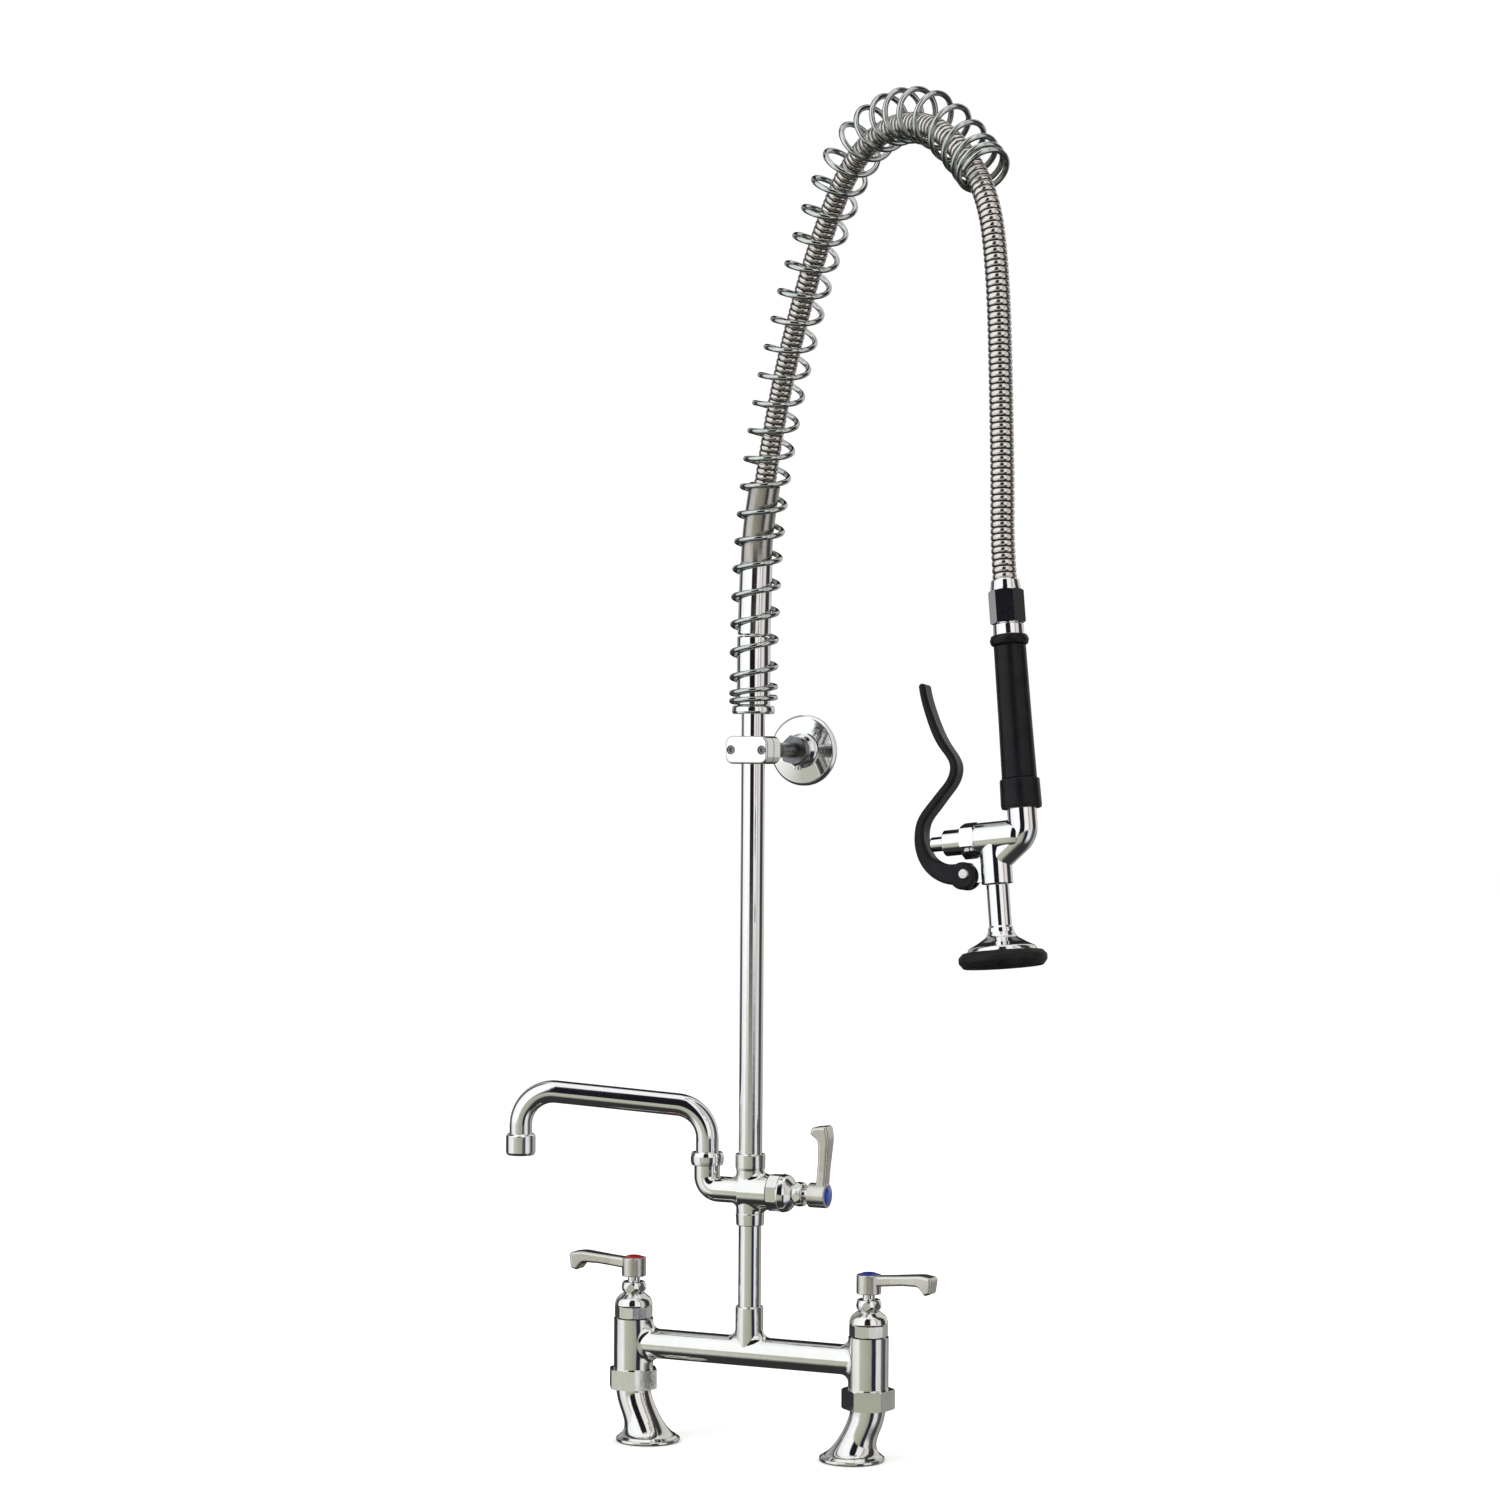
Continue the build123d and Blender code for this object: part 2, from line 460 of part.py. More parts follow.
nut = hexagon(24.0, -34.0, -8.0, 12, ease=1.0) + turned([(0, -9), (11.6, -9), (11.6, -6.5, 1.0), (10.9, -1.0, 0.8), (10.4, 0), (0, 0)])
nut -= cyl(6.5, -20, 1) + cyl(8.08, -35, -19.5)
add("hose_nut", g(nut))
add("hose_washer", g(cyl(8.0, -21.4, -19.5) - cyl(5.0, -22, -19)))

neck = turned([(0, -45.0), (10.0, -45.0), (11.9, -43.0, 0.8), (11.7, -34.6, 0.8), (8.0, -34.6), (8.0, -21.5, 0.6), (0, -21.5)])
neck += cyl(9.0, -176.75, -44.0)
neck -= cyl(5.6, -179, -20)
add("grip_core", g(neck))
add("grip_collar", g(turned([(9.05, -50.8), (14.0, -50.8, 2.0), (15.2, -47.0, 3.0), (13.8, -43.3, 2.0), (12.2, -43.3), (9.05, -46.2)])))
add("grip", g(turned([(9.05, -153.6), (13.5, -153.6, 0.5), (12.9, -110, 200), (12.4, -51.0, 1.0), (9.05, -51.0)])))
add("grip_sleeve", g(turned([(9.05, -176.7), (15.2, -176.7, 1.0), (15.75, -174.0, 1.0), (15.3, -154.2, 1.5), (13.0, -153.7), (9.05, -153.7)])))

gun = tube(FilletPolyline((0, 0, -176.8), (0, 0, -196), (NOZZLE_X, 0, -214), (NOZZLE_X, 0, -232), radius=[13, 13]), 11.2)
gun += along_x(cyl(13.0, -36.0, -8.0), z=-TRIGGER_S)
gun += Pos(-8.0, 0, -TRIGGER_S) * Sphere(13.0)
gun += cyl(12.0, -232.0, -TRIGGER_S, NOZZLE_X)
lug = outline([(-30, -214.5), (-48.5, -216.8, 4.0), (-52.6, -223.0, 5.5), (-48.0, -229.6, 4.0), (-30, -230.5)])
gun += Pos(0, 3.0, 0) * extrude(lug, 6.0, dir=(0, -1, 0))
gun = soften(gun, [e for e in gun.edges() if e.geom_type not in (GeomType.LINE, GeomType.CIRCLE)
                   and abs(e.center().Y) > 4 or False], 2.0, 1.2, 0.8)
gun -= cyl(5.6, -197, -176)
gun -= along_x(cyl(9.6, -37.0, -14.0), z=-TRIGGER_S)
gun -= cyl(5.0, -233, -TRIGGER_S, NOZZLE_X)
gun -= along_y(cyl(2.55, -5, 5), PIN_X, 0, -PIN_S)
add("gun_body", g(gun))

cap = hexagon(25.0, 36.0, 49.0, 10, ease=1.6) + turned([(0, 48), (10.0, 48), (10.0, 63.6, 0.8), (0, 63.6)]) + cyl(9.5, 28.0, 36.5)
cap -= cyl(5.65 + RUN, 44, 64) + cyl(8.0, 27.5, 44.1)
flip = Location((0, 0, -TRIGGER_S), (0, -90, 0))       # local +Z to -X
add("valve_cap", g(flip * cap))
stem = turned([(0, 22.0), (3.0, 22.0), (3.0, 45.0), (5.65, 45.0), (5.65, 75.0, 1.2), (0, 75.0)])
add("plunger", g(flip * stem))
add("valve_disc", g(flip * (cyl(7.6, 24.0, 27.0) - cyl(3.02, 23, 28))))
turns, r, z0, z1 = 5, 6.75, 28.6, 42.6
hel = []
n = turns * 4
for i in range(n + 1):
    a = 2 * math.pi * i / 4
    z = z0 + (z1 - z0) * i / n
    hel.append((Vector(r * math.cos(a), r * math.sin(a), z),
                Vector(-r * math.sin(a), r * math.cos(a), (z1 - z0) / n * 4 / (2 * math.pi)).normalized()))
edges = []
for (p0, t0), (p1, t1) in zip(hel, hel[1:]):
    v, t = p1 - p0, t0 + t1
    q = 2 * (1 - t0.dot(t1))
    vt = v.dot(t)
    d = (-vt + math.sqrt(vt * vt + q * v.dot(v))) / q
    m = (p0 + t0 * d + p1 - t1 * d) * 0.5
    edges.append(Edge.make_tangent_arc(p0, t0, m))
    edges.append(Edge.make_tangent_arc(m, edges[-1] % 1, p1))
add("valve_spring", g(flip * sweep(Plane(origin=hel[0][0], z_dir=hel[0][1]) * Circle(0.8), path=Wire(edges))))

# lever: flat bar bent in the gun's middle plane, forked round the lug
LEVER = [(-71.5, -75.4), (-66.6, -100.2), (-57.3, -123.7), (-50.2, -138.5), (-53.0, -149.2), (-61.4, -159.0), (-70.7, -168.6),
         (-79.3, -178.8), (-82.4, -189.8), (-81.7, -201.1), (-76.6, -212.0), (-67.0, -219.5), (-56.0, -222.4)]
HALF = [2.6, 3.0, 3.1, 3.1, 3.1, 3.2, 3.4, 3.5, 3.8, 4.4, 5.4, 7.0, 8.2]
left, right = [], []
for i, (x, z) in enumerate(LEVER):
    a, b = LEVER[max(0, i - 1)], LEVER[min(len(LEVER) - 1, i + 1)]
    tx, tz = b[0] - a[0], b[1] - a[1]
    n = math.hypot(tx, tz)
    nx, nz = tz / n, -tx / n
    left.append((x + nx * HALF[i], z + nz * HALF[i]))
    right.append((x - nx * HALF[i], z - nz * HALF[i]))
P = lambda p: Vector(p[0], 0, p[1])
e1 = Edge.make_spline([P(p) for p in left])
e2 = Edge.make_spline([P(p) for p in right])
tip = Edge.make_three_point_arc(e2 @ 0, P((LEVER[0][0] - 0.9, LEVER[0][1] + 2.4)), e1 @ 0)
heel = Edge.make_three_point_arc(e1 @ 1, P((PIN_X + 8.6, -PIN_S - 0.6)), e2 @ 1)
blade = Face(Wire([e1, heel, e2, tip]))
lever = Pos(0, 8.4, 0) * extrude(blade, 16.8, dir=(0, -1, 0))
lever = soften(lever, [e for e in lever.edges() if abs(abs(e.center().Y) - 8.4) < 0.01], 2.2, 1.8, 1.2, 0.8)
lever -= Pos(-43.0, 0, -PIN_S) * Box(24.0, 6.8, 20.0)
lever -= along_x(cyl(13.2, -37.0, -30.0), z=-TRIGGER_S) + cyl(12.3, -240, -205, NOZZLE_X)
lever -= along_y(cyl(2.52, -9, 9), PIN_X, 0, -PIN_S)
add("spray_lever", g(lever))
pin = cyl(2.5, -9.2, 9.2) + turned([(0, -10.8), (3.6, -10.8, 0.6), (4.5, -8.42), (0, -8.42)]) + turned([(0, 8.42), (4.5, 8.42), (3.6, 10.8, 0.6), (0, 10.8)])
add("lever_pin", g(along_y(pin, PIN_X, 0, -PIN_S)))

noz = lambda s: g(Pos(NOZZLE_X, 0, 0) * s)
add("nozzle_tube", noz(turned([(5.0, -270.0), (8.65, -270.0), (8.65, -233.2, 0.5), (8.0, -232.0), (5.0, -232.0)])))
bell = turned([(8.7, -264.5), (9.6, -266.0, 0.5), (9.9, -269.0, 2), (12.0, -273.0, 5), (19.0, -277.4, 10), (25.6, -280.8, 3), (26.85, -283.6, 1.0),
               (26.85, -286.0), (24.6, -286.0), (24.6, -283.6), (17.0, -279.0), (8.7, -273.0)])
add("spray_bell", noz(bell))
add("bumper_ring", noz(turned([(24.2, -286.1), (27.2, -286.1), (27.2, -283.9), (30.5, -283.9, 2.5), (33.9, -287.5, 3.0), (33.9, -291.5, 3.0),
                               (30.5, -295.9, 2.5), (25.6, -296.0, 1.5), (24.2, -294.0)])))
face = cyl(24.1, -291.5, -288.5)
for ring, number in ((8.0, 8), (14.0, 12), (20.0, 16)):
    for i in range(number):
        a = 2 * math.pi * (i + 0.5 * (ring == 14.0)) / number
        face -= cyl(0.9, -292, -288, ring * math.cos(a), ring * math.sin(a))
face -= cyl(1.9, -292, -288)
add("spray_face", noz(face))
centre_screw = cyl(1.85, -291.5, -276.0) + turned([(0, -293.4), (3.2, -293.4, 0.5), (3.8, -291.6), (0, -291.6)])
centre_screw += cyl(3.6, -277.0, -272.0) + Pos(0, 0, -275) * Box(16.4, 2.2, 3.0)
add("face_screw", noz(centre_screw))

os.makedirs("parts", exist_ok=True)
for name, shape in PARTS.items():
    shape.label = name
    export_step(shape, f"parts/{name}.step")
print(len(PARTS), "nodes")
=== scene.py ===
import json
import math
import bpy
import bmesh
import numpy as np
from mathutils import Matrix, Vector


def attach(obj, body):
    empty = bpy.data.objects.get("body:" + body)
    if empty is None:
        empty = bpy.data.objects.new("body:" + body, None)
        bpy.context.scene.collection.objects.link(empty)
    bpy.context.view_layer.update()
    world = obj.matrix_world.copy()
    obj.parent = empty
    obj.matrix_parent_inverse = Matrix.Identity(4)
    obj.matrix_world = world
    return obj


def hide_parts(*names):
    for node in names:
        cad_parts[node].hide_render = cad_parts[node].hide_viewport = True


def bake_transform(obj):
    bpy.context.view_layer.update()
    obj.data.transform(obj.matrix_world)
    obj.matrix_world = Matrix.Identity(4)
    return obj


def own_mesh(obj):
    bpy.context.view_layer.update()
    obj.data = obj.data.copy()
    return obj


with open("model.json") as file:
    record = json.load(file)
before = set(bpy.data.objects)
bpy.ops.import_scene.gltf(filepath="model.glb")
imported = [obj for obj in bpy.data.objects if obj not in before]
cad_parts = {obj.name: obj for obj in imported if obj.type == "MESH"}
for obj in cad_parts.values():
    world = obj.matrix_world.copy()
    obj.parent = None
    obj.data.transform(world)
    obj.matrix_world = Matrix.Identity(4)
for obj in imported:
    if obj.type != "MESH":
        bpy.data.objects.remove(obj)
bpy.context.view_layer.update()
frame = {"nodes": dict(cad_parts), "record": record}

NODES = frame["nodes"]
scene = bpy.context.scene

# ------------------------------------------------------------------ camera
cam_data = bpy.data.cameras.new("camera")
cam_data.lens = 81.6
cam_data.sensor_width = 36.0
cam_data.clip_start, cam_data.clip_end = 0.05, 60.0
cam = bpy.data.objects.new("camera", cam_data)
scene.collection.objects.link(cam)
cam.matrix_world = (Matrix.Translation((1.0910, -2.4565, 0.553)) @ Matrix.Rotation(math.radians(24), 4, "Z")
                    @ Matrix.Rotation(math.radians(90), 4, "X") @ Matrix.Rotation(math.radians(0.38), 4, "Z"))
scene.camera = cam
scene.view_settings.view_transform = "Standard"
scene.view_settings.look = "None"


# ------------------------------------------------------------------ node helpers
def nodes_of(tree):
    def node(kind, **kw):
        n = tree.nodes.new(kind)
        for k, v in kw.items():
            if k == "inputs":
                for name, value in v.items():
                    n.inputs[name].default_value = value
            else:
                setattr(n, k, v)
        return n
    return node


def ramp_of(node, stops):
    el = node.color_ramp.elements
    while len(el) > 1:
        el.remove(el[-1])
    el[0].position, el[0].color = stops[0][0], (*stops[0][1], 1)
    for p, c in stops[1:]:
        e = el.new(p)
        e.color = (*c, 1)


# ------------------------------------------------------------------ studio: world, with painted reflections for glossy rays
world = bpy.data.worlds.new("studio")
scene.world = world
world.use_nodes = True
wt = world.node_tree
wt.nodes.clear()
N = nodes_of(wt)
L = wt.links.new
coord = N("ShaderNodeTexCoord")
turn = N("ShaderNodeMapping", vector_type="POINT")
turn.inputs["Rotation"].default_value = (0, 0, math.radians(66))
L(coord.outputs["Generated"], turn.inputs["Vector"])
sep = N("ShaderNodeSeparateXYZ")
L(turn.outputs["Vector"], sep.inputs[0])
az = N("ShaderNodeMath", operation="ARCTAN2")
L(sep.outputs["Y"], az.inputs[0]); L(sep.outputs["X"], az.inputs[1])
azn = N("ShaderNodeMath", operation="MULTIPLY_ADD")
azn.inputs[1].default_value = 1 / (2 * math.pi)
azn.inputs[2].default_value = 0.5
L(az.outputs[0], azn.inputs[0])
at = lambda deg: 0.5 + deg / 360.0
# painted reflection: light and dark azimuth strips above the horizon, seen only by glossy rays
upper = N("ShaderNodeValToRGB")
upper.color_ramp.interpolation = "LINEAR"
ramp_of(upper, [
    (at(-180), (.02, .02, .02)), (at(-168), (.02, .02, .02)), (at(-160), (.45, .45, .44)), (at(-138), (.30, .30, .30)), (at(-126), (.03, .03, .035)), (at(-112), (.05, .05, .055)),
    (at(-104), (.95, .98, 1.0)), (at(-60), (1.16, 1.18, 1.20)), (at(-30), (1.10, 1.11, 1.12)), (at(-25), (.010, .010, .014)),
    (at(7), (.010, .010, .014)), (at(12), (.98, .95, .94)), (at(40), (1.0, .96, .95)), (at(47), (.34, .32, .32)), (at(56), (.74, .70, .69)), (at(74), (.80, .76, .75)),
    (at(81), (.05, .048, .048)), (at(112), (.03, .03, .03)), (at(122), (.62, .62, .60)), (at(154), (.70, .70, .67)), (at(164), (.02, .02, .02)), (at(180), (.02, .02, .02))])
L(azn.outputs[0], upper.inputs[0])
# painted reflection: strips below the horizon, darker than the white floor that diffuse rays see
lower = N("ShaderNodeValToRGB")
ramp_of(lower, [
    (at(-180), (.015, .015, .015)), (at(-150), (.09, .09, .09)), (at(-128), (.03, .03, .035)), (at(-112), (.06, .06, .065)), (at(-102), (.80, .82, .82)), (at(-62), (.98, .99, .97)),
    (at(-48), (.52, .53, .45)), (at(-8), (.44, .45, .37)), (at(12), (.36, .37, .31)), (at(20), (.02, .025, .045)), (at(38), (.02, .025, .045)), (at(46), (.86, .86, .86)),
    (at(70), (.74, .75, .76)), (at(78), (.14, .15, .16)), (at(104), (.05, .05, .05)), (at(118), (.42, .42, .40)), (at(150), (.30, .30, .28)), (at(166), (.015, .015, .015)), (at(180), (.015, .015, .015))])
L(azn.outputs[0], lower.inputs[0])
low_k = N("ShaderNodeMapRange", interpolation_type="SMOOTHSTEP")
low_k.inputs["From Min"].default_value, low_k.inputs["From Max"].default_value = -0.02, -0.13
L(sep.outputs["Z"], low_k.inputs["Value"])
mix_low = N("ShaderNodeMix", data_type="RGBA")
L(low_k.outputs[0], mix_low.inputs["Factor"]); L(upper.outputs[0], mix_low.inputs[6]); L(lower.outputs[0], mix_low.inputs[7])
top_k = N("ShaderNodeMapRange", interpolation_type="SMOOTHSTEP")
top_k.inputs["From Min"].default_value, top_k.inputs["From Max"].default_value = 0.84, 0.96
L(sep.outputs["Z"], top_k.inputs["Value"])
mix_top = N("ShaderNodeMix", data_type="RGBA")
mix_top.inputs[7].default_value = (1.0, 1.01, 1.02, 1)
L(top_k.outputs[0], mix_top.inputs["Factor"]); L(mix_low.outputs[2], mix_top.inputs[6])
# painted shade: far below the horizon glossy rays see near-black, which darkens undersides in reflections
deep_k = N("ShaderNodeMapRange", interpolation_type="SMOOTHSTEP")
deep_k.inputs["From Min"].default_value, deep_k.inputs["From Max"].default_value = -0.45, -0.75
L(sep.outputs["Z"], deep_k.inputs["Value"])
mix_deep = N("ShaderNodeMix", data_type="RGBA")
mix_deep.inputs[7].default_value = (.035, .038, .036, 1)
L(deep_k.outputs[0], mix_deep.inputs["Factor"]); L(mix_top.outputs[2], mix_deep.inputs[6])
# glossy rays get the painted reflection strips; camera and diffuse rays get plain white
path_n = N("ShaderNodeLightPath")
pick = N("ShaderNodeMix", data_type="RGBA")
pick.inputs[6].default_value = (1.03, 1.03, 1.03, 1)
L(path_n.outputs["Is Glossy Ray"], pick.inputs["Factor"]); L(mix_deep.outputs[2], pick.inputs[7])
bg = N("ShaderNodeBackground")
bg.inputs["Strength"].default_value = 1.0
L(pick.outputs[2], bg.inputs["Color"])
out = N("ShaderNodeOutputWorld")
L(bg.outputs[0], out.inputs["Surface"])


def area(name, place, target, size, power, color=(1, 1, 1)):
    d = bpy.data.lights.new(name, "AREA")
    d.shape, d.size, d.size_y, d.energy, d.color = "RECTANGLE", size[0], size[1], power, color
    o = bpy.data.objects.new(name, d)
    scene.collection.objects.link(o)
    o.location = place
    o.rotation_euler = (Vector(target) - Vector(place)).to_track_quat("-Z", "Y").to_euler()
    o.visible_glossy = False
    o.visible_camera = False
    return o


area("key_light", (-1.6, -2.2, 2.3), (0, 0, 0.5), (1.6, 1.6), 26)
area("fill_light", (2.3, -1.2, 1.2), (0.1, 0, 0.5), (1.4, 1.8), 12, (1, .97, .96))
area("back_light", (0.4, 2.2, 2.2), (0.1, 0, 0.5), (1.8, 1.4), 12)

floor_mesh = bpy.data.meshes.new("floor")
s = 14.0
floor_mesh.from_pydata([(-s, -s, -0.0006), (s, -s, -0.0006), (s, s, -0.0006), (-s, s, -0.0006)], [], [(0, 1, 2, 3)])
floor = bpy.data.objects.new("floor", floor_mesh)
scene.collection.objects.link(floor)
floor.visible_glossy = False
fm = bpy.data.materials.new("floor_paper")
fm.use_nodes = True
fb = fm.node_tree.nodes["Principled BSDF"]
fb.inputs["Base Color"].default_value = (.985, .985, .985, 1)
fb.inputs["Roughness"].default_value = 1.0
fb.inputs["Specular IOR Level"].default_value = 0.0
floor_mesh.materials.append(fm)


# ------------------------------------------------------------------ materials
def material(name, lo, hi, metallic, rough, scale=60.0, bump=0.02, bump_scale=900.0, bump_dist=0.0004, coat=0.0,
             streak=(1, 1, 1), spots=None, spec=0.5, sheen=0.0, bump2=None):
    m = bpy.data.materials.new(name)
    m.use_nodes = True
    t = m.node_tree
    n = nodes_of(t)
    link = t.links.new
    p = t.nodes["Principled BSDF"]
    p.inputs["Metallic"].default_value = metallic
    p.inputs["Specular IOR Level"].default_value = spec
    p.inputs["Coat Weight"].default_value = coat
    p.inputs["Coat Roughness"].default_value = 0.08
    p.inputs["Sheen Weight"].default_value = sheen
    co = n("ShaderNodeTexCoord")
    mp = n("ShaderNodeMapping")
    mp.inputs["Scale"].default_value = streak
    link(co.outputs["Object"], mp.inputs["Vector"])
    big = n("ShaderNodeTexNoise")
    big.inputs["Scale"].default_value = scale
    big.inputs["Detail"].default_value = 5.0
    big.inputs["Roughness"].default_value = 0.62
    link(mp.outputs[0], big.inputs["Vector"])
    cr = n("ShaderNodeValToRGB")
    ramp_of(cr, [(0.30, lo), (0.70, hi)])
    link(big.outputs["Fac"], cr.inputs[0])
    colour = cr.outputs[0]
    smudge = n("ShaderNodeTexNoise")
    smudge.inputs["Scale"].default_value = scale * 0.45
    smudge.inputs["Detail"].default_value = 8.0
    smudge.inputs["Roughness"].default_value = 0.7
    link(mp.outputs[0], smudge.inputs["Vector"])
    rr = n("ShaderNodeMapRange")
    rr.inputs["From Min"].default_value, rr.inputs["From Max"].default_value = 0.35, 0.75
    rr.inputs["To Min"].default_value, rr.inputs["To Max"].default_value = rough
    link(smudge.outputs["Fac"], rr.inputs["Value"])
    link(rr.outputs[0], p.inputs["Roughness"])
    if spots:
        vor = n("ShaderNodeTexVoronoi")
        vor.inputs["Scale"].default_value = spots[0]
        link(co.outputs["Object"], vor.inputs["Vector"])
        sm = n("ShaderNodeMapRange")
        sm.inputs["From Min"].default_value, sm.inputs["From Max"].default_value = spots[1], spots[1] * 0.4
        link(vor.outputs["Distance"], sm.inputs["Value"])
        mx = n("ShaderNodeMix", data_type="RGBA")
        mx.inputs[7].default_value = (*spots[2], 1)
        link(sm.outputs[0], mx.inputs["Factor"]); link(colour, mx.inputs[6])
        colour = mx.outputs[2]
    link(colour, p.inputs["Base Color"])
    fine = n("ShaderNodeTexNoise")
    fine.inputs["Scale"].default_value = bump_scale
    fine.inputs["Detail"].default_value = 4.0
    link(mp.outputs[0], fine.inputs["Vector"])
    bp = n("ShaderNodeBump")
    bp.inputs["Strength"].default_value = bump
    bp.inputs["Distance"].default_value = bump_dist
    link(fine.outputs["Fac"], bp.inputs["Height"])
    if bump2:
        g2 = n("ShaderNodeTexNoise")
        g2.inputs["Scale"].default_value = bump2[0]
        g2.inputs["Detail"].default_value = 2.0
        link(co.outputs["Object"], g2.inputs["Vector"])
        b2 = n("ShaderNodeBump")
        b2.inputs["Strength"].default_value = bump2[1]
        b2.inputs["Distance"].default_value = bump2[2]
        link(g2.outputs["Fac"], b2.inputs["Height"])
        link(bp.outputs[0], b2.inputs["Normal"])
        link(b2.outputs[0], p.inputs["Normal"])
    else:
        link(bp.outputs[0], p.inputs["Normal"])
    return m


M = {
    "polished_chrome": material("polished_chrome", (.86, .865, .87), (.92, .92, .915), 1.0, (.035, .085), scale=38, bump=.015, bump_scale=700, bump2=(90, .02, .0012)),
    "cast_chrome": material("cast_chrome", (.80, .80, .775), (.88, .88, .86), 1.0, (.05, .12), scale=45, bump=.03, bump_scale=520, bump2=(110, .05, .0015)),
    "satin_chrome": material("satin_chrome", (.62, .60, .56), (.74, .72, .67), 1.0, (.20, .34), scale=60, bump=.08, bump_scale=1400, bump2=(160, .06, .001)),
    "plain_brass": material("plain_brass", (.66, .50, .22), (.78, .62, .32), 1.0, (.22, .34), scale=90, bump=.05),
    "stainless_steel": material("stainless_steel", (.58, .58, .57), (.70, .70, .69), 1.0, (.18, .30), scale=120, bump=.06, streak=(1, 1, 6)),
    "hose_steel": material("hose_steel", (.66, .62, .59), (.82, .78, .75), 1.0, (.12, .20), scale=300, bump=.05, bump_scale=2600),
    # near-black colour for the hose grooves: painted shade in the recesses between rings
    "hose_groove_shade": material("hose_groove_shade", (.035, .032, .03), (.075, .07, .066), 1.0, (.35, .5), scale=300, bump=.1, bump_scale=2600),
    "dark_steel": material("dark_steel", (.16, .16, .165), (.26, .26, .265), 1.0, (.22, .36), scale=140, bump=.06, bump_scale=1500),
    "spring_steel": material("spring_steel", (.52, .55, .53), (.68, .71, .69), 1.0, (.05, .11), scale=160, bump=.04, bump_scale=1800),
    "crimp_steel": material("crimp_steel", (.42, .39, .37), (.56, .53, .50), 1.0, (.18, .28), scale=140, bump=.12, bump_scale=1500, streak=(1, 1, .3)),
    "black_grip": material("black_grip", (.003, .0033, .004), (.007, .0075, .009), 0.0, (.26, .42), scale=120, bump=.10, bump_scale=2200, spec=.20),
    "black_rubber": material("black_rubber", (.004, .004, .004), (.010, .010, .010), 0.0, (.46, .62), scale=150, bump=.18, bump_scale=1900, spec=.22),
    "seal_rubber": material("seal_rubber", (.02, .02, .02), (.035, .035, .035), 0.0, (.5, .7), scale=150, bump=.15),
    "grey_plastic": material("grey_plastic", (.40, .41, .42), (.50, .51, .52), 0.0, (.35, .5), scale=120, bump=.05),
    "hot_index_red": material("hot_index_red", (.23, .004, .010), (.36, .014, .018), 0.0, (.12, .22), scale=260, bump=.03, coat=.6),
    "cold_index_blue": material("cold_index_blue", (.008, .020, .15), (.018, .042, .26), 0.0, (.12, .22), scale=260, bump=.03, coat=.6),
}
SLOT = {r["node"]: r["material_slot"] for r in frame["record"]["subparts"]}
for n, o in NODES.items():
    m = M[SLOT[n]]
    if n in ("bridge_body", "addon_body", "valve_bonnets", "packing_nuts", "coupling_nuts", "hot_leg", "cold_leg"):
        m = M["cast_chrome"]
    if n in ("wall_arm", "clamp_screws", "wall_lock_nut"):
        m = M["dark_steel"]
    o.data.materials.clear()
    o.data.materials.append(m)


# ------------------------------------------------------------------ mesh helpers
def piece(name, verts, faces, body, mat, smooth=True, sharp=None):
    me = bpy.data.meshes.new(name)
    me.from_pydata([tuple(map(float, v)) for v in verts], [], faces)
    me.validate()
    bm = bmesh.new()
    bm.from_mesh(me)
    bmesh.ops.recalc_face_normals(bm, faces=bm.faces)
    bm.to_mesh(me)
    bm.free()
    me.polygons.foreach_set("use_smooth", [smooth] * len(me.polygons))
    if sharp:
        me.set_sharp_from_angle(angle=math.radians(sharp))
    o = bpy.data.objects.new(name, me)
    scene.collection.objects.link(o)
    me.materials.append(mat)
    if body:
        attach(o, body)
    return o


ARCH_TURN = math.radians(-36.0)     # the arch's plane, turned about Z from +X
ALONG = np.array([math.cos(ARCH_TURN), math.sin(ARCH_TURN), 0.0])
ACROSS = np.array([-math.sin(ARCH_TURN), math.cos(ARCH_TURN), 0.0])
UP = np.array([0.0, 0.0, 1.0])


def in_arch(rho, z):
    """A point of the arch plane, in metres."""
    return tuple(float(x) for x in (ALONG * rho + UP * z) / 1000)


def nurbs_line(name, route):
    """Points down a smooth NURBS curve through the region of its control points, in metres."""
    cu = bpy.data.curves.new(name, "CURVE")
    cu.dimensions = "3D"
    sp = cu.splines.new("NURBS")
    sp.points.add(len(route) - 1)
    for p, (x, z) in zip(sp.points, route):
        p.co = (*in_arch(x, z), 1)
    sp.order_u = 3
    sp.use_endpoint_u = True
    cu.resolution_u = 40
    ob = bpy.data.objects.new(name, cu)
    me = bpy.data.meshes.new_from_object(ob)
    pts = np.array([v.co for v in me.vertices], float)
    bpy.data.meshes.remove(me)
    bpy.data.objects.remove(ob)
    bpy.data.curves.remove(cu)
    return pts


def resample(pts, count):
    d = np.concatenate([[0], np.cumsum(np.linalg.norm(np.diff(pts, axis=0), axis=1))])
    s = np.linspace(0, d[-1], count)
    return np.stack([np.interp(s, d, pts[:, k]) for k in range(3)], axis=1), s


def tangents(pts):
    t = np.gradient(pts, axis=0)
    return t / np.linalg.norm(t, axis=1)[:, None]


def sweep_rings(centres, tang, radii, seg, side=ACROSS, start=0.0):
    """Rings of a tube whose path lies in the arch plane."""
    side = np.array(side, float)
    a = np.linspace(0, 2 * math.pi, seg, endpoint=False) + start
    verts = []
    for c, t, r in zip(centres, tang, radii):
        n = np.cross(side, t)
        n /= np.linalg.norm(n)
        b = np.cross(t, n)
        verts.append(c + r * (np.cos(a)[:, None] * n + np.sin(a)[:, None] * b))
    v = np.concatenate(verts)
    k = len(centres)
    f = [(i * seg + j, i * seg + (j + 1) % seg, (i + 1) * seg + (j + 1) % seg, (i + 1) * seg + j)
         for i in range(k - 1) for j in range(seg)]
    f.append(tuple(range(seg))[::-1])
    f.append(tuple((k - 1) * seg + j for j in range(seg)))
    return v, f


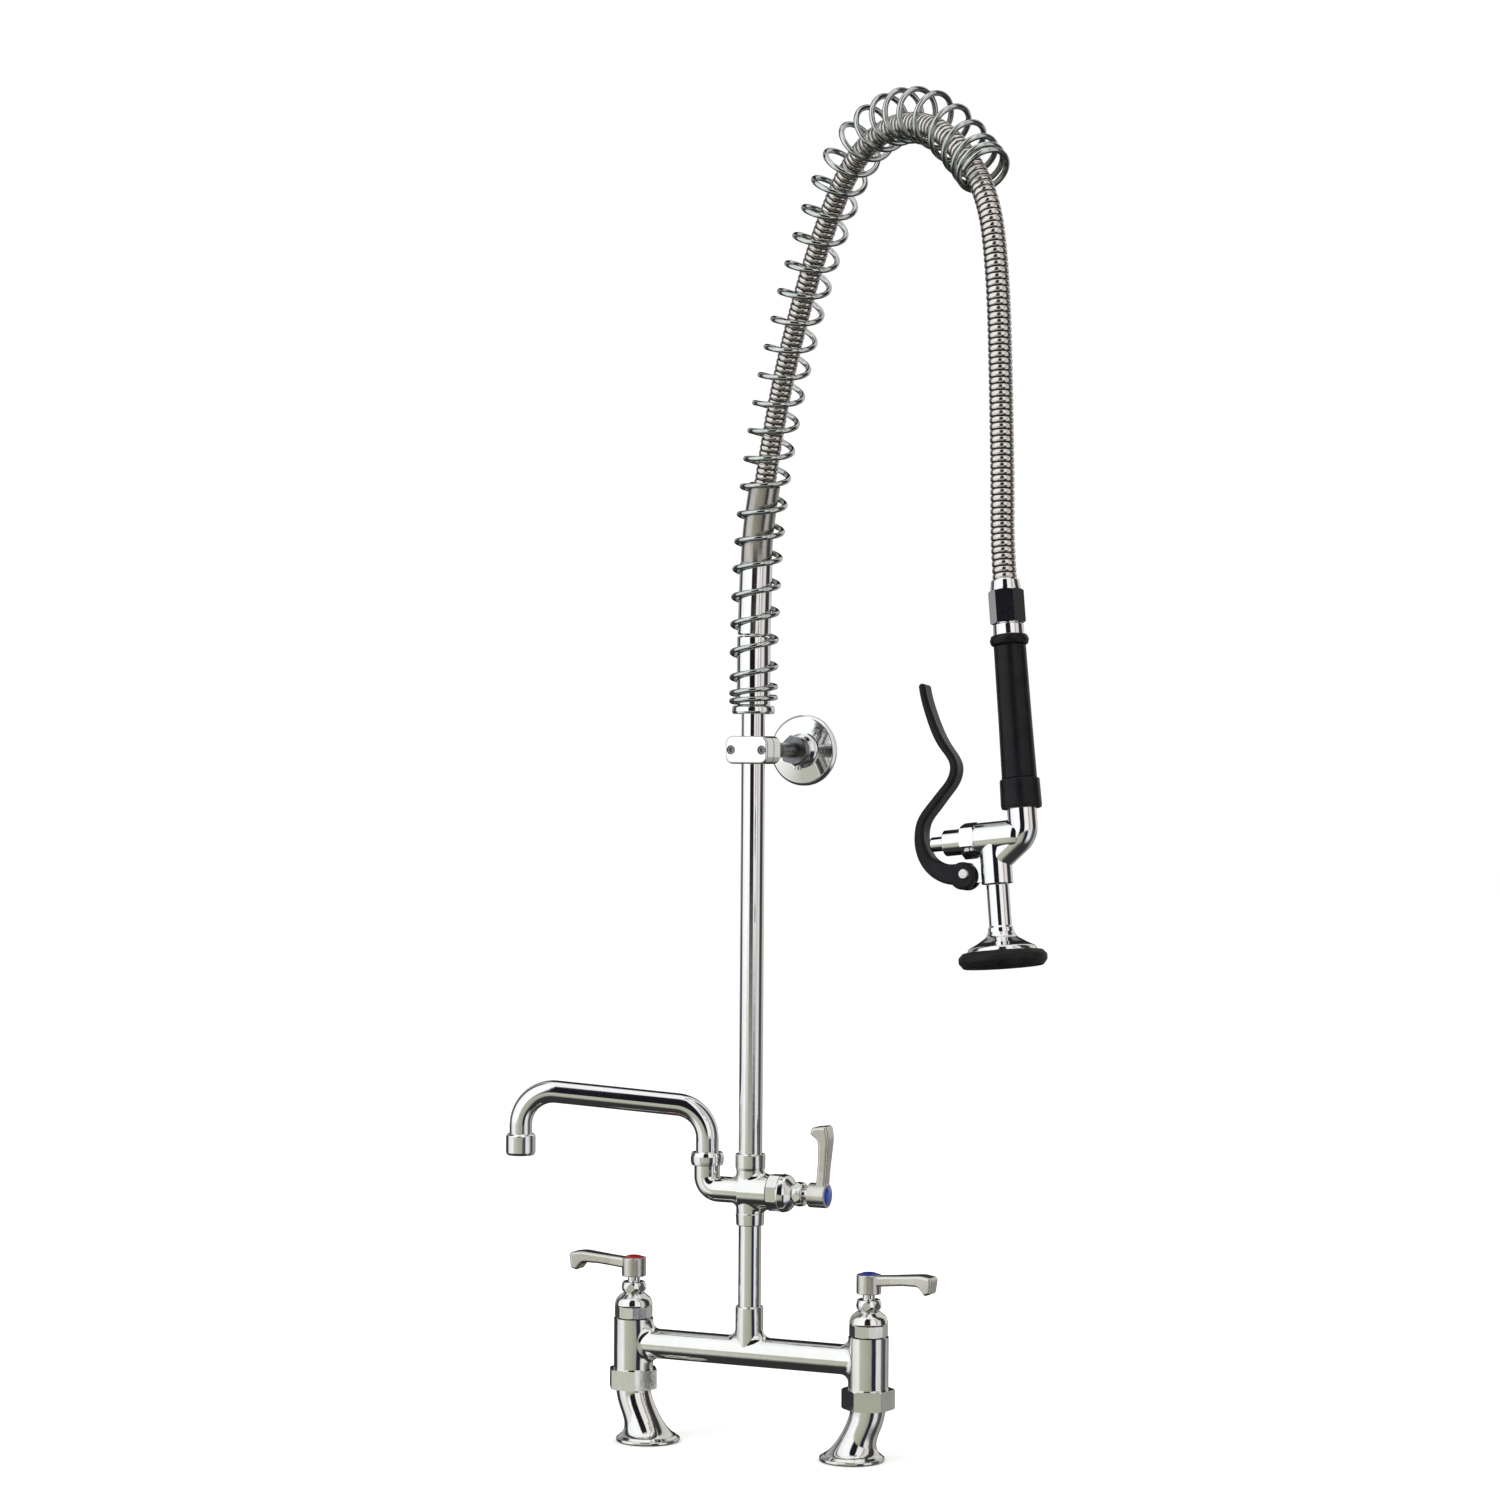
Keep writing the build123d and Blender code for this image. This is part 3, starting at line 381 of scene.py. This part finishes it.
# ------------------------------------------------------------------ hose
HOSE_ROUTE = [(15.6, 761.4), (34.4, 826.4), (77.6, 912.8), (114.6, 966.4), (145.3, 997.8),
              (186.1, 1014.2), (229.2, 1014.4), (275.3, 998.2), (326.4, 951.4), (340.3, 888.3),
              (345.0, 799.3), (347.4, 738.9), (347.382, 699.147), (351.0, 673.4)]
HOSE_R, RING_PITCH = 0.0086, 0.0046
line = nurbs_line("hose_line", HOSE_ROUTE)
length = float(np.linalg.norm(np.diff(line, axis=0), axis=1).sum())
rings = int(round(length / RING_PITCH))
PER = 10
pts, s = resample(line, rings * PER + 1)
tg = tangents(pts)
ph = (np.arange(rings * PER + 1) % PER) / PER
# rounded ridge with a narrow groove each pitch
prof = HOSE_R - 0.00125 * (1 - np.clip(np.sin(math.pi * ph), 0, 1) ** 0.42)
rho_of = pts @ ALONG
split = int(np.argmin(np.abs(rho_of - 0.200) + 1e3 * (np.arange(len(pts)) % PER > 0)))
SEG = 40
for name, a, b, bodies, st, en in (
        ("hose_rising_length", 0, split, ("frame", "overhead_arch"), in_arch(15.6, 761.4), in_arch(66.0, 900.0)),
        ("hose_hanging_length", split, len(pts) - 1, ("overhead_arch", "hose_end"), in_arch(326.0, 950.0), in_arch(341.5, 850.0))):
    v, f = sweep_rings(pts[a:b + 1], tg[a:b + 1], prof[a:b + 1], SEG)
    h = piece(name, v, f, None, M["hose_steel"])
    h.data.materials.append(M["hose_groove_shade"])
    ring_of = {}
    # the rows at each groove get the near-black painted-shade material
    for poly in h.data.polygons:
        r = min(poly.vertices) // SEG
        if len(poly.vertices) == 4 and r % PER in (0, PER - 1):
            poly.material_index = 1
    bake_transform(h)
    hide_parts("hose")

# ------------------------------------------------------------------ overhead spring
SPRING_ROUTE = [(0.0, 590.0), (-0.1, 651.7), (8.9, 738.9), (33.5, 825.2), (74.9, 911.8),
                (109.2, 965.8), (135.5, 997.0), (171.8, 1016.7), (222.6, 1022.6),
                (277.4, 1005.0), (328.8, 957.7)]
TURNS = [1.6, 7.8, 20.1, 39.7, 61.6, 83.2, 105.0, 126.4, 147.6, 169.3, 191.2, 213.3, 235.5, 257.8, 280.3,
         303.1, 325.6, 348.1, 371.0, 394.1, 417.7, 440.0, 465.2, 486.4, 507.8, 526.0, 545.0,
         567.5, 592.3, 614.6, 632.0, 641.6, 648.2]
COIL_AT = [(0.0, 17.2), (150.0, 17.5), (300.0, 18.1), (430.0, 18.8), (520.0, 18.8), (660.0, 18.0)]
sl = nurbs_line("spring_line", SPRING_ROUTE)
sl, ss = resample(sl, 3000)
st_ = tangents(sl)
total = ss[-1]


def coil_radius(q):
    for (s0, r0), (s1, r1) in zip(COIL_AT, COIL_AT[1:]):
        if q <= s1:
            k = (q - s0) / (s1 - s0)
            return r0 + (r1 - r0) * k * k * (3 - 2 * k)
    return COIL_AT[-1][1]


def turn_at(u):
    n = len(TURNS)
    i = max(0, min(n - 2, int(math.floor(u))))
    t = u - i

    def slope(j):
        if j <= 0 or j >= n - 1:
            return TURNS[1] - TURNS[0] if j <= 0 else TURNS[-1] - TURNS[-2]
        a, b = TURNS[j] - TURNS[j - 1], TURNS[j + 1] - TURNS[j]
        return 2 * a * b / (a + b)
    a, b, ma, mb = TURNS[i], TURNS[i + 1], slope(i), slope(i + 1)
    return (a * (2 * t ** 3 - 3 * t ** 2 + 1) + ma * (t ** 3 - 2 * t ** 2 + t)
            + b * (-2 * t ** 3 + 3 * t ** 2) + mb * (t ** 3 - t ** 2))


first, last = -0.25, len(TURNS) - 1 + 0.1
us = np.linspace(first, last, int((last - first) * 56))
K = total / 0.6568
helix = []
for u in us:
    d = min(max(turn_at(u), 0.4), 655.8)
    q = d / 1000 * K
    c = np.array([np.interp(q, ss, sl[:, k]) for k in range(3)])
    t = np.array([np.interp(q, ss, st_[:, k]) for k in range(3)])
    inward = ALONG * t[2] - UP * (t @ ALONG)
    inward /= np.linalg.norm(inward)
    a = math.radians(236.0 + 360 * u)
    helix.append(c + coil_radius(d) / 1000 * (inward * math.cos(a) + ACROSS * math.sin(a)))
helix = np.array(helix)


def tube3(path, radius, seg):
    """A tube along any 3-D path, its rings turned as little as possible."""
    t = tangents(path)
    ref = np.cross(t[0], [0, 0, 1.0])
    if np.linalg.norm(ref) < 1e-3:
        ref = np.array([1.0, 0, 0])
    ref /= np.linalg.norm(ref)
    a = np.linspace(0, 2 * math.pi, seg, endpoint=False)
    rad = np.broadcast_to(radius, (len(path),))
    verts = []
    for p, d, r in zip(path, t, rad):
        ref = ref - d * (ref @ d)
        ref /= np.linalg.norm(ref)
        b = np.cross(d, ref)
        verts.append(p + r * (np.cos(a)[:, None] * ref + np.sin(a)[:, None] * b))
    v = np.concatenate(verts)
    k = len(path)
    f = [(i * seg + j, i * seg + (j + 1) % seg, (i + 1) * seg + (j + 1) % seg, (i + 1) * seg + j)
         for i in range(k - 1) for j in range(seg)]
    f.append(tuple(range(seg))[::-1])
    f.append(tuple((k - 1) * seg + j for j in range(seg)))
    return v, f


v, f = tube3(helix, 0.00215, 18)
coil = piece("spring_coil", v, f, None, M["spring_steel"])
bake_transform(coil)
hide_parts("overhead_spring")

# ------------------------------------------------------------------ return spring behind the plunger
GUN = (Matrix.Rotation(ARCH_TURN, 4, "Z") @ Matrix.Translation((0.351, 0, 0.6734))
       @ Matrix.Rotation(math.radians(-8.0), 4, "Y") @ Matrix.Rotation(-ARCH_TURN, 4, "Z"))
GUN_SCALE = 0.913


def in_gun(x, y, z):
    """A point of the spray gun, drawn in millimetres from the hose nut's top."""
    return np.array(GUN @ (Vector((x, y, z)) * (GUN_SCALE / 1000)))


turns = np.linspace(0, 5, 5 * 40 + 1)
inner = [in_gun(-(28.6 + 14.0 * t / 5), 6.75 * math.sin(2 * math.pi * t), -197.5 + 6.75 * math.cos(2 * math.pi * t)) for t in turns]
v, f = tube3(np.array(inner), 0.0008 * GUN_SCALE, 12)
back = piece("valve_return_spring", v, f, "spray_gun", M["stainless_steel"])
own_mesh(back)
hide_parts("valve_spring")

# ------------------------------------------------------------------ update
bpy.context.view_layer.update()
